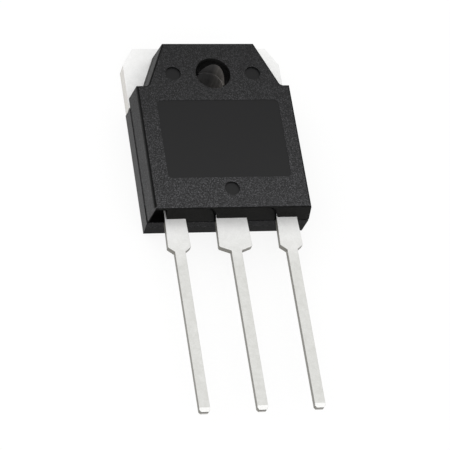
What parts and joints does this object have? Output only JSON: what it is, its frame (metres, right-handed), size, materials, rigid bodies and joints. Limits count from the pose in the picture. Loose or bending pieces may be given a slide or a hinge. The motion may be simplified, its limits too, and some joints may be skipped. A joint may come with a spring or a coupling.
{
  "type": "power transistor",
  "caption": "Flat plastic power transistor with a screw-mounted metal heatsink tab at the top and straight flat leads at the bottom; switches or amplifies current.",
  "frame": {"origin": "centre of the mounting hole on the seating plane (the metal back)", "axes": "+Z is the front face's normal, away from the seating plane; +Y points to the metal tab's top edge, so the leads run along -Y; +X is to the right seen from the front. The part lies on its metal back"},
  "size_m": [0.0159, 0.0398, 0.0048],
  "materials": {
    "moulding_compound": "dark epoxy moulding, fine matt grain, polished marking field",
    "tinned_copper": "matt tin plating on stamped copper",
    "silicon": "smooth",
    "solder": "dull",
    "bond_wire": "smooth"
  },
  "bodies": {
    "root": {"package_body": "moulding_compound", "heatsink_plate": "tinned_copper", "base_lead": "tinned_copper", "emitter_lead": "tinned_copper", "silicon_die": "silicon", "die_solder": "solder", "base_wire": "bond_wire", "emitter_wire": "bond_wire"}
  },
  "joints": []
}
